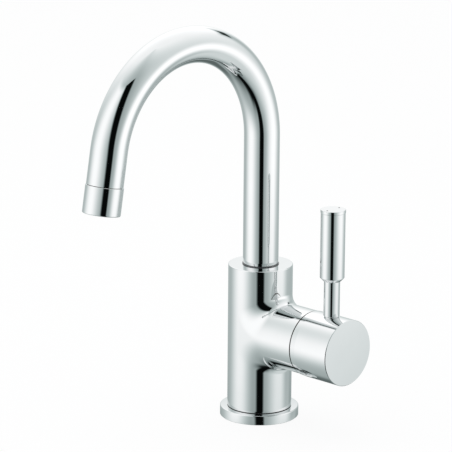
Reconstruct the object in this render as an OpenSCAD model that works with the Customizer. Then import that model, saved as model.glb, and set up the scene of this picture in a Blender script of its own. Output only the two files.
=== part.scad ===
// Tall basin mixer: a round body on a base flange, a swan-neck swivel spout and a pin lever
// on a hub that closes a side branch. One ceramic-disc cartridge lies in the branch.
// The origin is the centre of the flange's underside. +Z is up, the spout points to -Y and
// the branch to +X. The lever stands upright at rest, which is closed and half warm.

/* [Body] */
// Diameter of the upright body and of its side branch
body_d = 40; // [38:0.5:46]
// Height of the body's flat top above the basin
body_top = 97.4; // [95:0.2:120]
// Distance of the branch's axis below the body's top
branch_drop = 41.9; // [38:0.1:46]
// Distance from the body's axis to the branch's open end
branch_len = 43.5; // [42:0.5:50]
// Radius of the fillets between body and branch, in the plane of their axes
corner_r = 5; // [2:0.5:8]
// How much wider these fillets grow towards the front and back, per mm of distance
corner_spread = 0.5; // [0.1:0.05:0.6]
// Bevel on the turned edges of body, flange and handle
edge = 0.6; // [0.3:0.1:1]

/* [Base] */
// Diameter of the base flange
flange_d = 49; // [48:0.5:56]
// Height of the base flange
flange_h = 6; // [5:0.5:10]
// Diameter of the tail that passes through the flange
tail_d = 34; // [32:0.5:35]
// Height of the tail's underside above the basin
tail_lift = 1; // [0.5:0.1:2]
// Thickness of the gasket between body and flange
gasket_t = 0.4; // [0.3:0.1:1]
// Radial width of the seal under the flange
seal_w = 4; // [3:0.5:5]
// Depth of the seal's groove in the flange
seal_t = 2; // [1:0.5:3]

/* [Supply] */
// Distance between the two hose inlets
inlet_spacing = 16; // [15:0.5:17]
// Distance of the inlets and water channels behind the body's axis
inlet_back = 5; // [4.5:0.5:6]
// Bore of an inlet before threading, for M10x1
inlet_d = 9; // [8.5:0.1:9.5]
// Depth of the inlet's thread
inlet_len = 10; // [8:1:16]
// Diameter of the upright water channels
channel_d = 6; // [5:0.2:6.4]
// Distance of the fixing stud in front of the body's axis
stud_x = 9.5; // [8.5:0.5:11]
// Bore for the fixing stud before threading, for M8
stud_d = 6.8; // [6.4:0.1:7]
// Depth of the fixing stud's thread
stud_len = 20; // [12:1:24]

/* [Spout] */
// Outer diameter of the spout tube
tube_d = 22; // [20:0.5:24]
// Wall of the spout tube
tube_wall = 1.2; // [1:0.1:1.5]
// Height from the body's top to the start of the bend
spout_rise = 81.4; // [60:1:160]
// Radius of the bend at the tube's axis
bend_r = 65; // [50:1:80]
// Angle of the bend
bend_sweep = 170; // [150:1:180]
// Straight length of tube after the bend
drop = 20; // [14:1:40]
// Swing of the spout to each side
swivel = 75; // [40:1:80]
// Thickness of the slip ring under the spout
slip_t = 0.35; // [0.3:0.05:1.2]
// How far the slip ring stands proud of the spout tube all round
slip_proud = 0.4; // [0.1:0.05:0.8]
// Height of the tapered band at the tube's foot
foot_band = 1.8; // [1:0.1:3]
// How far the band tapers in
foot_taper = 0.3; // [0.1:0.05:0.6]
// Diameter of the spigot that turns in the body
spigot_d = 17; // [16:0.5:17.5]
// Length of the spigot that is brazed into the tube
spigot_braze = 14; // [8:1:20]
// Wall left between the spigot's socket and the cartridge's cavity
socket_floor = 4.3; // [3.5:0.1:5]
// Water bore of the spigot
spigot_bore = 11; // [9:0.5:11.5]

/* [Outlet] */
// Outer diameter of the aerator housing
outlet_d = 22.7; // [22.4:0.1:25]
// Length of the aerator housing
outlet_len = 16.7; // [15:0.5:24]
// Width of the seam between tube and aerator housing
outlet_seam = 0.3; // [0.2:0.1:0.6]
// Bore of the outlet's lip
mouth_d = 17; // [15:0.5:18]
// Width of one cell of the flow straightener
cell_w = 2.2; // [1.8:0.1:3]

/* [Cartridge] */
// Outer diameter of the cartridge housing
cart_d = 28; // [27:0.5:29]
// Wall of the cartridge housing
cart_wall = 1.5; // [1.4:0.1:1.8]
// Thickness of the cartridge's base plate
base_t = 5.1; // [4.5:0.1:6]
// Thickness of the fixed ceramic disc
fixed_disc_t = 3.5; // [3:0.1:4]
// Thickness of the moving ceramic disc
moving_disc_t = 3; // [2.8:0.1:3.5]
// Height of the nut that holds the cartridge
nut_h = 5; // [4:0.5:7]
// Length of the lever arm between the pivot and the disc driver
arm_len = 8.5; // [7.5:0.1:9]
// Diameter of the cartridge's stem
stem_d = 9; // [8:0.5:9.5]
// Width across the flats of the stem's square end
stem_flat = 6.3; // [5.6:0.1:6.6]
// Diameter of the pivot pin
pin_d = 3; // [2.5:0.1:3.4]
// Tilt of the lever between closed and fully open
lift_max = 22; // [18:1:24]
// Turn of the lever from half warm to hot and to cold
turn_max = 45; // [30:1:50]

/* [Handle] */
// How far the hub stands proud of the branch all round
hub_proud = 0.5; // [0.2:0.1:1]
// Width of the gap between branch and hub
hub_gap = 0.5; // [0.4:0.1:0.8]
// Length of the hub
hub_len = 29.2; // [27:0.2:34]
// Wall of the hub
hub_wall = 3.5; // [3:0.5:5]
// Distance of the lever's axis from the hub's inner end
lever_inset = 15.5; // [14:0.5:17]
// Height of the lever's top above the branch's axis
lever_h = 87.5; // [70:0.5:120]
// Length of the tapered land at the hub's inner end
land_len = 4; // [3:0.5:8]
// How far the land tapers in
land_taper = 0.2; // [0.1:0.05:0.25]
// Diameter of the lever rod
rod_d = 9.8; // [8:0.2:11]
// Bevel at the foot of the rod
rod_bevel = 0.5; // [0.2:0.1:0.8]
// Diameter of the lever's grip
grip_d = 15; // [13:0.5:18]
// Length of the grip with its cap
grip_len = 44.6; // [36:0.2:50]
// Bevel at the foot of the grip
grip_bevel = 2.2; // [1:0.1:3]
// Thickness of the grip's cap
cap_t = 2; // [1.5:0.1:3]
// How far the cap stands proud of the grip all round
cap_proud = 0.2; // [0.05:0.05:0.4]
// Diameter of the two pin spanner's holes in the cap
pin_hole_d = 1.2; // [0.8:0.1:1.6]
// Distance between the pin spanner's holes
pin_hole_gap = 10.6; // [8:0.2:11]

/* [Fits] */
// Gap between pieces that are pushed or screwed into one another
fit = 0.05; // [0.03:0.01:0.1]
// Gap between pieces that move past each other
play = 0.3; // [0.2:0.05:0.4]

/* [Hidden] */
$fn = 96;
cut = 1;
body_sides = 80;
fillet_steps = 8;

body_r = body_d / 2;
branch_z = body_top - branch_drop;
tail_r = tail_d / 2;
flange_r = flange_d / 2;
shoulder_z = flange_h + gasket_t;
channel_r = channel_d / 2;

cart_r = cart_d / 2;
cavity_r = cart_r + 0.2;
step_r = cart_r + 1.7;
mouth_r = step_r + 1.4;
stem_r = stem_d / 2;
stem_neck_r = stem_r / cos(lift_max);
pin_r = pin_d / 2;
bore_r = cart_r - cart_wall;
rotor_r = bore_r - play;
port_r = 2.2;
ball_r = 2.2;
base_gap = 0.4;
disc_recess = 1.5;
film = 0.05;
lid_t = 1.7;
dome_skirt = 5;
dome_wall = 1.8;
dome_rim = 0.4;

// Places along the branch's axis, outwards from the floor of the cartridge's cavity
fixed_disc_h = base_gap + base_t - disc_recess;
moving_disc_h = fixed_disc_h + fixed_disc_t + film;
driver_h = moving_disc_h + moving_disc_t;
driver_t = ball_r * 2 + film;
ball_h = driver_h + ball_r + 0.75;
pivot_h = ball_h + arm_len;
rotor_top_h = pivot_h + 5;
cart_h = rotor_top_h + play + lid_t;
step_h = cart_h - 5.5;
cavity_depth = cart_h + nut_h + 0.5 + dome_skirt;
seat_x = branch_len - cavity_depth;
pivot_x = seat_x + pivot_h;

// The hub's bowl and the dome are spheres about the pivot, so the hub tilts without a wide gap
dome_r = sqrt(pow(branch_len - pivot_x, 2) + pow(body_r, 2));
bowl_r = dome_r + play + film;
hub_r = body_r + hub_proud;
hub_x = branch_len + hub_gap;
lever_x = hub_x + lever_inset;
travel = arm_len * lift_max * PI / 180;
driver_half = 5;
slot_half = driver_half + travel + play;
cheek_half = stem_r + play;

disc_r = bore_r - 1.3;
moving_disc_r = bore_r - travel - play;
inlet_port = [-3.7, 5.94];
outlet_port = 5.5;

tube_r = tube_d / 2;
tube_bore_r = tube_r - tube_wall;
tube_foot = body_top + slip_t + film;
bend_z = body_top + spout_rise;
spigot_r = spigot_d / 2;
socket_r = spigot_r + fit;
socket_z = branch_z + cavity_r + socket_floor;
lock_z = body_top - 5.4;
lock_r = 2.1;
tip_r = 1.5;
groove_r = spigot_r - 1.6;
ring_r = 0.65;
outlet_r = outlet_d / 2;
outlet_thread = 6;
nipple_r = outlet_r - 1.15;
chamber_r = nipple_r - 0.6;
cell_r = cell_w * 0.45;
jet_r = min(mouth_d / 2 - 0.4, chamber_r - cell_r - 0.6);

rod_r = rod_d / 2;
rod_neck_r = rod_r - rod_bevel;
grip_r = grip_d / 2;
cap_r = grip_r + cap_proud;
rod_seat = hub_r - 2;
rod_thread_r = 3;
rod_thread_len = 10;
spigot_grip_r = 3.5;
cap_shank_r = 5;
cap_shank_len = 4;
grip_foot = lever_h - grip_len;

// Frame on the branch's axis: local Z runs outwards and local X downwards
module on_branch(u) translate([u, 0, branch_z]) rotate([0, 90, 0]) children();

// Frame in the plane of the spout's bend, with local Z across it
module bend_frame() translate([0, -bend_r, bend_z]) rotate([90, 0, 90]) children();

// Frame at the end of the bend, with local Z along the flow
module outlet_frame() bend_frame() rotate(bend_sweep) translate([bend_r, 0, 0])
    rotate([-90, 0, 0]) children();

// Frame of the lock screw, with local Z towards the back
module lock_frame() translate([0, 0, lock_z]) rotate([-90, 0, 0]) children();

// A turned ring between two radii
module ring(r_out, r_in, h) difference() {
    cylinder(r = r_out, h = h);
    translate([0, 0, -cut]) cylinder(r = r_in, h = h + 2 * cut);
}

// What a bevel takes off the upper edge of a turned piece, whose top is at z = 0. It goes in by
// its size and down by its height, which are alike unless a height is given.
module bevel_cut(r, size, h = 0) let (low = h > 0 ? h : size) rotate_extrude()
    polygon([[r - size, 0], [r + cut, 0], [r + cut, -low - cut], [r, -low]]);

// An arc of ring round the Z axis, centred on the X axis
module arc_ring(r_out, r_in, half_angle, h) rotate(-half_angle)
    rotate_extrude(angle = 2 * half_angle) translate([r_in, 0]) square([r_out - r_in, h]);

// Points on an arc about c, from angle a0 to a1 in n steps
function arc(c, r, a0, a1, n) = [for (k = [0 : n]) let (a = a0 + (a1 - a0) * k / n)
    c + r * [cos(a), sin(a)]];

// What a round stem sweeps when it tilts and turns: a fan with round corners
module fan(r, reach, spread) polygon(concat(
    arc(reach * [cos(spread), -sin(spread)], r, -spread - 90, -spread, 6),
    arc([0, 0], reach + r, -spread * 0.8, spread * 0.8, 8),
    arc(reach * [cos(spread), sin(spread)], r, spread, spread + 90, 6),
    arc([0, 0], r, spread + 90, 270 - spread, 8)));

// Places of a honeycomb's cells inside a circle
function honeycomb(pitch, r) = let (n = ceil(r / pitch)) [for (i = [-n : n], j = [-n : n])
    let (p = pitch * [i + j / 2, j * sqrt(3) / 2]) if (norm(p) < r) p];

// Outline of the body and branch in one upright slice, at the distance y from the axis
function body_slice(y) = let (w = sqrt(pow(body_r, 2) - y * y),
    f = corner_r + corner_spread * (body_r - w))
    concat([[-w, y, branch_z], [-w, y, shoulder_z], [w, y, shoulder_z]],
        [for (k = [0 : fillet_steps]) let (a = 180 - 90 * k / fillet_steps)
            [w + f + f * cos(a), y, branch_z - w - f + f * sin(a)]],
        [[branch_len, y, branch_z - w], [branch_len, y, branch_z + w]],
        [for (k = [0 : fillet_steps]) let (a = 270 - 90 * k / fillet_steps)
            [w + f + f * cos(a), y, branch_z + w + f + f * sin(a)]],
        [[w, y, body_top], [-w, y, body_top]]);

// Outer form of body and branch: two equal cylinders that blend into a filleted T
module body_form() {
    n = body_sides / 2;
    slices = [for (i = [0 : n - 1]) body_slice(-body_r * cos((i + 0.5) * 180 / n))];
    m = len(slices[0]);
    polyhedron(points = [for (s = slices, p = s) p], faces = concat(
        [for (i = [0 : n - 2], j = [0 : m - 1]) let (a = i * m + j, b = i * m + (j + 1) % m)
            [a, b, b + m]],
        [for (i = [0 : n - 2], j = [0 : m - 1]) let (a = i * m + j, b = i * m + (j + 1) % m)
            [a, b + m, a + m]],
        [for (j = [1 : m - 2]) [0, j + 1, j]],
        [for (j = [1 : m - 2]) [0, j, j + 1] + (n - 1) * m * [1, 1, 1]]));
}

// Hot and cold channels from the hose inlets to the cartridge, and the mixed water's way up
module water_ways() {
    for (side = [-1, 1]) {
        translate([-inlet_back, side * inlet_spacing / 2, tail_lift - cut]) {
            cylinder(d = inlet_d, h = inlet_len + cut);
            cylinder(r = channel_r, h = branch_z - inlet_port[0] - tail_lift + cut);
        }
        on_branch(-inlet_back) translate([inlet_port[0], side * inlet_port[1], 0])
            cylinder(r = port_r, h = seat_x + inlet_back + cut);
    }
    on_branch(-inlet_back) translate([outlet_port, 0, 0])
        cylinder(r = port_r, h = seat_x + inlet_back + cut);
    translate([-inlet_back, 0, branch_z - outlet_port])
        cylinder(r = channel_r, h = socket_z - branch_z + outlet_port + cut);
}

// Brass casting: body, branch and tail in one, with the cartridge's cavity in the branch
module body_casting() color("gainsboro") difference() {
    union() {
        body_form();
        translate([0, 0, tail_lift]) cylinder(r = tail_r, h = shoulder_z - tail_lift + cut);
    }
    translate([0, 0, body_top]) bevel_cut(body_r, edge);
    on_branch(branch_len) bevel_cut(body_r, edge / 2);
    on_branch(seat_x) cylinder(r = cavity_r, h = cavity_depth + cut);
    on_branch(seat_x + step_h) cylinder(r = step_r, h = cavity_depth - step_h + cut);
    on_branch(branch_len - dome_skirt - 0.2) cylinder(r = mouth_r, h = dome_skirt + cut);
    on_branch(seat_x) for (side = [-1, 1]) translate([0, side * 10, -3])
        cylinder(r = 1.6, h = 3 + cut);
    translate([0, 0, socket_z]) cylinder(r = socket_r, h = body_top - socket_z + cut);
    lock_frame() translate([0, 0, spigot_r - cut]) cylinder(r = lock_r, h = body_r);
    translate([stud_x, 0, tail_lift - cut]) cylinder(d = stud_d, h = stud_len + cut);
    water_ways();
}

// Turned base flange, which covers the tap hole
module base_flange() color("silver") difference() {
    ring(flange_r, tail_r + fit, flange_h);
    translate([0, 0, flange_h]) bevel_cut(flange_r, edge);
    translate([0, 0, -cut]) ring(seal_out_r() + fit, seal_in_r() - fit, seal_t + cut);
}

// The seal's ring lies midway between the tail and the flange's rim
function seal_mid_r() = (tail_r + flange_r) / 2;
function seal_in_r() = seal_mid_r() - seal_w / 2;
function seal_out_r() = seal_mid_r() + seal_w / 2;

// Rubber seal against the basin, flush with the flange's underside
module base_seal() color("dimgray") ring(seal_out_r(), seal_in_r(), seal_t);

// Thin gasket that shows as a dark line between body and flange
module body_gasket() color("dimgray") translate([0, 0, flange_h])
    ring(body_r - gasket_t, tail_r + fit, gasket_t);

// Dark slip ring that the spout turns on
module spout_slip_ring() color("dimgray") translate([0, 0, body_top])
    ring(tube_r + slip_proud, socket_r, slip_t);

// Grub screw at the back, whose point runs in the spigot's groove and stops the swing
module spout_lock_screw() color("slategray") lock_frame() difference() {
    union() {
        translate([0, 0, groove_r + play]) cylinder(r = tip_r, h = 2);
        translate([0, 0, spigot_r + 0.7]) cylinder(r = lock_r - fit, h = body_r - spigot_r - 2);
    }
    translate([0, 0, body_r - 4]) cylinder(d = 2.5 / cos(30), h = 4, $fn = 6);
}

// Plastic cartridge housing with its lid, shoulder and the recess for the rotor's stop
module cartridge_housing() color("ivory") on_branch(seat_x) difference() {
    union() {
        translate([0, 0, base_gap + base_t])
            cylinder(r = cart_r, h = cart_h - base_gap - base_t);
        translate([0, 0, step_h]) cylinder(r = step_r - fit, h = cart_h - step_h);
    }
    translate([0, 0, cut]) cylinder(r = bore_r, h = rotor_top_h + play - cut);
    cylinder(r = (cart_h - pivot_h) * tan(lift_max) + stem_neck_r + 0.5, h = cart_h + cut);
    translate([0, 0, rotor_top_h - 4]) rotate(90)
        arc_ring(bore_r + 0.7, bore_r - cut, turn_max + 9.5, 4 + play);
}

// Plastic base plate with three ports and two locating pegs
module cartridge_base() color("ivory") on_branch(seat_x) difference() {
    union() {
        translate([0, 0, base_gap]) cylinder(r = cart_r - fit, h = base_t);
        for (side = [-1, 1]) translate([0, side * 10, base_gap - 3]) cylinder(r = 1.5, h = 3);
    }
    translate([0, 0, fixed_disc_h]) cylinder(r = disc_r + fit, h = disc_recess + cut);
    at_ports() {
        translate([0, 0, base_gap - cut]) cylinder(r = port_r, h = base_t + cut);
        translate([0, 0, base_gap - cut]) cylinder(r = port_r + 1.3, h = 1.4 + cut);
    }
}

// The three ports: hot and cold above, mixed water below
module at_ports() {
    for (side = [-1, 1]) translate([inlet_port[0], side * inlet_port[1], 0]) children();
    translate([outlet_port, 0, 0]) children();
}

// Rubber rings that seal the ports against the cavity's floor
module port_seals() color("dimgray") on_branch(seat_x) at_ports()
    ring(port_r + 1.3 - fit, port_r, base_gap + 1.4);

// Fixed ceramic disc with two curved inlet ports and one outlet port
module fixed_disc() color("white") on_branch(seat_x + fixed_disc_h) difference() {
    cylinder(r = disc_r, h = fixed_disc_t);
    for (side = [-1, 1]) rotate(180 - side * atan2(inlet_port[1], -inlet_port[0]))
        translate([0, 0, -cut]) arc_ring(norm(inlet_port) + 1.8, norm(inlet_port) - 1.8, 18,
            fixed_disc_t + 2 * cut);
    translate([outlet_port, 0, -cut]) cylinder(r = port_r, h = fixed_disc_t + 2 * cut);
}

// Brass nut that clamps the cartridge, with notches for a spanner
module retaining_nut() color("goldenrod") on_branch(seat_x + cart_h) difference() {
    ring(step_r - fit, (cart_h + nut_h - pivot_h) * tan(lift_max) + stem_neck_r + 0.8, nut_h);
    for (k = [0 : 2]) rotate(60 * k) translate([0, 0, nut_h + cut - 1])
        cube([3, 2 * body_r, 4], center = true);
}

// Domed cover screwed into the branch's mouth, with a fan-shaped window for the stem
module dome_cover() color("silver") difference() {
    union() {
        intersection() {
            on_branch(pivot_x) sphere(r = dome_r);
            on_branch(branch_len) cylinder(r = body_r - dome_rim, h = dome_r);
        }
        on_branch(branch_len - dome_skirt) cylinder(r = mouth_r - fit, h = dome_skirt);
    }
    intersection() {
        on_branch(pivot_x) sphere(r = dome_r - dome_wall);
        on_branch(pivot_x) cylinder(r = step_r - 0.2, h = dome_r);
    }
    on_branch(branch_len) linear_extrude(dome_r)
        fan(stem_r + 0.5, dome_r * sin(lift_max), turn_max);
}

// A round bar that follows the spout: riser, bend and drop, with its ends run on. The drop is
// a hair wider than the bend and laps over its end, so that the two join cleanly.
module spout_bar(r, run_on) {
    lap = 0.5;
    translate([0, 0, tube_foot - run_on]) cylinder(r = r, h = bend_z - tube_foot + run_on);
    bend_frame() rotate_extrude(angle = bend_sweep) translate([bend_r, 0]) circle(r);
    outlet_frame() translate([0, 0, -lap]) cylinder(r = r + 0.02, h = drop + run_on + lap);
}

// Bent spout tube
module spout_tube() color("silver") difference() {
    spout_bar(tube_r, 0);
    spout_bar(tube_bore_r, cut);
    translate([0, 0, tube_foot]) mirror([0, 0, 1]) bevel_cut(tube_r, foot_taper, foot_band);
}

// Brass spigot brazed into the tube's foot, with two ring grooves and the stop groove
module spout_spigot() color("goldenrod") difference() {
    union() {
        translate([0, 0, tube_foot]) cylinder(r = tube_bore_r - fit, h = spigot_braze);
        translate([0, 0, socket_z + 1]) cylinder(r = spigot_r, h = tube_foot - socket_z);
    }
    translate([0, 0, socket_z]) cylinder(d = spigot_bore,
        h = tube_foot + spigot_braze - socket_z + cut);
    for (z = o_ring_places()) translate([0, 0, z - 1])
        ring(spigot_r + cut, spigot_r - 2 * ring_r, 2);
    translate([0, 0, lock_z - tip_r - play]) rotate(90) arc_ring(spigot_r + cut, groove_r,
        swivel + asin(tip_r / groove_r) + 2, 2 * (tip_r + play));
}

// Heights of the spigot's two rubber rings
function o_ring_places() = [socket_z + 4.5, socket_z + 10.5];

// Rubber rings that seal the spigot in the body
module spigot_o_rings() color("dimgray") for (z = o_ring_places()) translate([0, 0, z])
    rotate_extrude() translate([spigot_r - ring_r, 0]) circle(r = ring_r);

// Threaded brass nipple brazed into the tube's outlet end
module outlet_nipple() color("goldenrod") outlet_frame() difference() {
    union() {
        translate([0, 0, drop - 8]) cylinder(r = tube_bore_r - fit, h = 8);
        translate([0, 0, drop]) cylinder(r = nipple_r - fit, h = outlet_thread);
    }
    translate([0, 0, drop - 8 - cut]) cylinder(r = chamber_r - 1.6, h = outlet_thread + 10);
}

// Chromed housing screwed on the nipple, with an inward lip at the mouth
module aerator_housing() color("silver") outlet_frame() translate([0, 0, drop + outlet_seam])
    difference() {
        cylinder(r = outlet_r, h = outlet_len);
        translate([0, 0, outlet_len]) bevel_cut(outlet_r, edge);
        translate([0, 0, -cut]) cylinder(r = nipple_r, h = outlet_thread + cut);
        translate([0, 0, -cut]) cylinder(r = chamber_r, h = outlet_len - 1.2 + cut);
        cylinder(d = mouth_d, h = outlet_len + cut);
    }

// Rubber washer between nipple and aerator
module aerator_washer() color("dimgray") outlet_frame()
    translate([0, 0, drop + outlet_thread]) ring(chamber_r - fit, chamber_r - 1.6, 1.5);

// Perforated steel screen
module aerator_screen() color("lightgray") outlet_frame()
    translate([0, 0, drop + outlet_thread + 1.5]) difference() {
        cylinder(r = chamber_r - fit, h = 0.6);
        for (p = honeycomb(cell_w, chamber_r - 1.5)) translate([p[0], p[1], -cut])
            cylinder(d = cell_w * 0.6, h = 3);
    }

// Plastic honeycomb that straightens the jet
module flow_straightener() color("whitesmoke") outlet_frame()
    translate([0, 0, drop + outlet_thread + 2.1]) {
        h = outlet_seam + outlet_len - 1.2 - outlet_thread - 2.1;
        difference() {
            cylinder(r = chamber_r - fit, h = h);
            for (p = honeycomb(cell_w, jet_r)) translate([p[0], p[1], -cut])
                cylinder(r = cell_r, h = h + 2 * cut, $fn = 6);
        }
    }

// Plastic rotor that the lever turns; its slot guides stem and driver
module cartridge_rotor() color("lightsteelblue") on_branch(seat_x + driver_h + play)
    difference() {
        h = rotor_top_h - driver_h - play;
        union() {
            cylinder(r = rotor_r, h = h);
            translate([0, 0, h - 4 + play]) rotate(90) arc_ring(bore_r + 0.4, rotor_r - 1, 8,
                4 - play);
        }
        translate([-slot_half, -cheek_half, -cut])
            cube([2 * slot_half, 2 * cheek_half, h + 2 * cut]);
        translate([0, 0, pivot_h - driver_h - play]) rotate([90, 0, 0])
            cylinder(r = pin_r + fit, h = 2 * rotor_r - 3, center = true);
    }

// Steel pin that the stem tilts on
module pivot_pin() color("slategray") on_branch(pivot_x) rotate([90, 0, 0])
    cylinder(r = pin_r, h = 2 * rotor_r - 4, center = true);

// Plastic driver between stem and moving disc, with two pegs in the disc
module disc_driver() color("ivory") on_branch(seat_x + driver_h) difference() {
    union() {
        translate([-driver_half, -stem_r, 0]) cube([2 * driver_half, 2 * stem_r, driver_t]);
        for (side = [-1, 1]) translate([side * 3.6, 0, -1]) cylinder(r = 1, h = 2);
    }
    translate([0, 0, -cut]) cylinder(r = ball_r + 0.2, h = driver_t + 2 * cut);
}

// Moving ceramic disc with the blind pocket that joins the ports
module moving_disc() color("white") on_branch(seat_x + moving_disc_h) difference() {
    cylinder(r = moving_disc_r, h = moving_disc_t);
    translate([2.6, 0, -cut]) cylinder(r = 5.2, h = moving_disc_t / 2 + cut);
    for (side = [-1, 1]) translate([side * 3.6, 0, moving_disc_t - 1.1])
        cylinder(r = 1 + fit, h = 2);
}

// Brass stem: ball end, arm, neck on the pin and a square end in the hub
module cartridge_stem() color("goldenrod") on_branch(pivot_x) difference() {
    union() {
        translate([0, 0, -arm_len]) sphere(r = ball_r);
        translate([0, 0, -arm_len]) cylinder(r = 1.7, h = arm_len);
        translate([0, 0, -3.5]) cylinder(r = stem_r, h = 3.5 + bowl_r + 0.5);
        translate([-stem_flat / 2, -stem_flat / 2, bowl_r])
            cube([stem_flat, stem_flat, stem_end() - bowl_r]);
    }
    rotate([90, 0, 0]) cylinder(r = pin_r + fit, h = 2 * stem_d, center = true);
}

// Length of the stem beyond the pivot
function stem_end() = lever_x - pivot_x + 4;

// Hollow hub: a bowl about the pivot, with bosses for the stem's square and for the lever
module handle_hub() color("silver") difference() {
    on_branch(hub_x) cylinder(r = hub_r, h = hub_len);
    on_branch(hub_x) mirror([0, 0, 1]) bevel_cut(hub_r, land_taper, land_len);
    on_branch(hub_x + hub_len) bevel_cut(hub_r, edge / 2);
    on_branch(pivot_x) sphere(r = bowl_r);
    difference() {
        on_branch(hub_x + cut) cylinder(r = hub_r - hub_wall, h = hub_len - hub_wall - cut);
        on_branch(pivot_x) cylinder(r = stem_r + 3.5, h = hub_len * 2);
        translate([lever_x, 0, branch_z]) cylinder(r = rod_r + 2, h = 3 * hub_r, center = true);
    }
    on_branch(pivot_x) translate([-stem_flat / 2 - fit, -stem_flat / 2 - fit, 0])
        cube([stem_flat + 2 * fit, stem_flat + 2 * fit, stem_end() + fit]);
    on_branch(pivot_x) cylinder(r = stem_r + fit, h = bowl_r + 0.5 + fit);
    translate([lever_x, 0, branch_z + rod_seat]) cylinder(r = rod_neck_r + fit, h = hub_r);
    translate([lever_x, 0, branch_z + rod_seat - rod_thread_len])
        cylinder(r = rod_thread_r, h = rod_thread_len + cut);
    translate([lever_x, 0, branch_z]) mirror([0, 0, 1]) cylinder(r = lock_r, h = hub_r + cut);
}

// Grub screw that holds the hub on the stem, reached from below
module hub_grub_screw() color("slategray") translate([lever_x, 0, branch_z])
    mirror([0, 0, 1]) difference() {
        translate([0, 0, stem_flat / 2]) cylinder(r = lock_r - fit, h = 8);
        translate([0, 0, stem_flat / 2 + 5]) cylinder(d = 2.5 / cos(30), h = 5, $fn = 6);
    }

// Lever rod: a thread and a neck in the hub, the bright shaft and a spigot in the grip
module lever_rod() color("silver") translate([lever_x, 0, branch_z]) {
    translate([0, 0, rod_seat - rod_thread_len + 0.5])
        cylinder(r = rod_thread_r - fit, h = rod_thread_len);
    translate([0, 0, rod_seat]) cylinder(r = rod_neck_r, h = hub_r + fit + 1 - rod_seat);
    translate([0, 0, hub_r + fit]) difference() {
        cylinder(r = rod_r, h = grip_foot + 3 - hub_r - fit);
        mirror([0, 0, 1]) bevel_cut(rod_r, rod_bevel);
    }
    translate([0, 0, grip_foot + 2]) cylinder(r = spigot_grip_r, h = grip_len - 10);
}

// Turned grip with a bevelled foot
module lever_grip() color("silver") translate([lever_x, 0, branch_z + grip_foot]) {
    h = grip_len - cap_t;
    difference() {
        cylinder(r = grip_r, h = h);
        mirror([0, 0, 1]) bevel_cut(grip_r, grip_bevel);
        translate([0, 0, -cut]) cylinder(r = rod_r + fit, h = 3 + cut);
        cylinder(r = spigot_grip_r + fit, h = h);
        translate([0, 0, h - cap_shank_len]) cylinder(r = cap_shank_r + fit, h = h);
    }
}

// Cap that closes the grip, screwed in by two small holes for a pin spanner
module grip_cap() color("whitesmoke") translate([lever_x, 0, branch_z + lever_h]) difference() {
    union() {
        translate([0, 0, -cap_t]) cylinder(r = cap_r, h = cap_t);
        translate([0, 0, -cap_t - cap_shank_len + 0.5])
            cylinder(r = cap_shank_r, h = cap_shank_len);
    }
    bevel_cut(cap_r, edge / 2);
    for (side = [-1, 1]) translate([0, side * pin_hole_gap / 2, -cap_t / 2])
        cylinder(d = pin_hole_d, h = cap_t);
}

body_casting();
base_flange();
base_seal();
body_gasket();
spout_slip_ring();
spout_lock_screw();
cartridge_housing();
cartridge_base();
port_seals();
fixed_disc();
retaining_nut();
dome_cover();
spout_tube();
spout_spigot();
spigot_o_rings();
outlet_nipple();
aerator_housing();
aerator_washer();
aerator_screen();
flow_straightener();
cartridge_rotor();
pivot_pin();
disc_driver();
moving_disc();
cartridge_stem();
handle_hub();
hub_grub_screw();
lever_rod();
lever_grip();
grip_cap();
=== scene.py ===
# A tall basin mixer in polished chrome: round body on a flange, swan-neck spout, side pin lever.
# The sections follow the assembly, from the casting to the aerator, and end with the studio.
# Lengths are metres in the mixer's own frame: +Z up, spout to -Y, side branch to +X.
import math
import bmesh
import bpy
from mathutils import Matrix, Vector


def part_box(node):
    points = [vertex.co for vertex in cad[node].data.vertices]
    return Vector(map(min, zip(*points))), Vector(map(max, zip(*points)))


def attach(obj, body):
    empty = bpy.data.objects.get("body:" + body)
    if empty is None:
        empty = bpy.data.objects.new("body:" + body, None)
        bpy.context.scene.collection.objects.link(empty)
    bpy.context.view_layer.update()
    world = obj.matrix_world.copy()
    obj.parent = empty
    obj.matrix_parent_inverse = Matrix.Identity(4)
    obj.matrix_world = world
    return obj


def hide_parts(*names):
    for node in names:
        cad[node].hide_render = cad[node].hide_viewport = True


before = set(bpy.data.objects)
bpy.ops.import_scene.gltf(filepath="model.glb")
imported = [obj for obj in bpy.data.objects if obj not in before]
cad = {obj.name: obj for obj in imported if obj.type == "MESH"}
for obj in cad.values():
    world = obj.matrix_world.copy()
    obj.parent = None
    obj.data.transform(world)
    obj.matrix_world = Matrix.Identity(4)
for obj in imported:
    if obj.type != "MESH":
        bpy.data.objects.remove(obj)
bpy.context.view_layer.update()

mm = 0.001


# Body casting
# One brass casting: the upright body and the side branch, two cylinders of one width that run
# into each other through hand-polished fillets. Its outside is plated; its bores, the branch's end
# face and its foot are raw brass painted far darker than brass, as painted shade by the gaps.
body_r, body_foot, body_top = 20 * mm, 6.4 * mm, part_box("body_casting")[1].z
branch_z, branch_end = 55.5 * mm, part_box("body_casting")[1].x
fillet_r, fillet_spread, fillet_steps = 5 * mm, 0.5, 16
rim_r, branch_bevel, rim_row = 0.55 * mm, 0.3 * mm, 0.05 * mm
tail_r, tail_foot = 17 * mm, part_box("body_casting")[0].z
cavity_floor, cavity_r, step_floor, step_r, mouth_floor, mouth_r = (
    4 * mm, 14.2 * mm, 27.5 * mm, 15.7 * mm, 38.3 * mm, 17.1 * mm)
socket_z, socket_r = 74 * mm, 8.55 * mm
lock_z, lock_r, lock_inner = body_top - 5.4 * mm, 2.1 * mm, 7 * mm
inlet_x, inlet_y, inlet_r, inlet_top, channel_r, port_r = (
    -5 * mm, 8 * mm, 4.5 * mm, 11 * mm, 3 * mm, 2.2 * mm)
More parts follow.
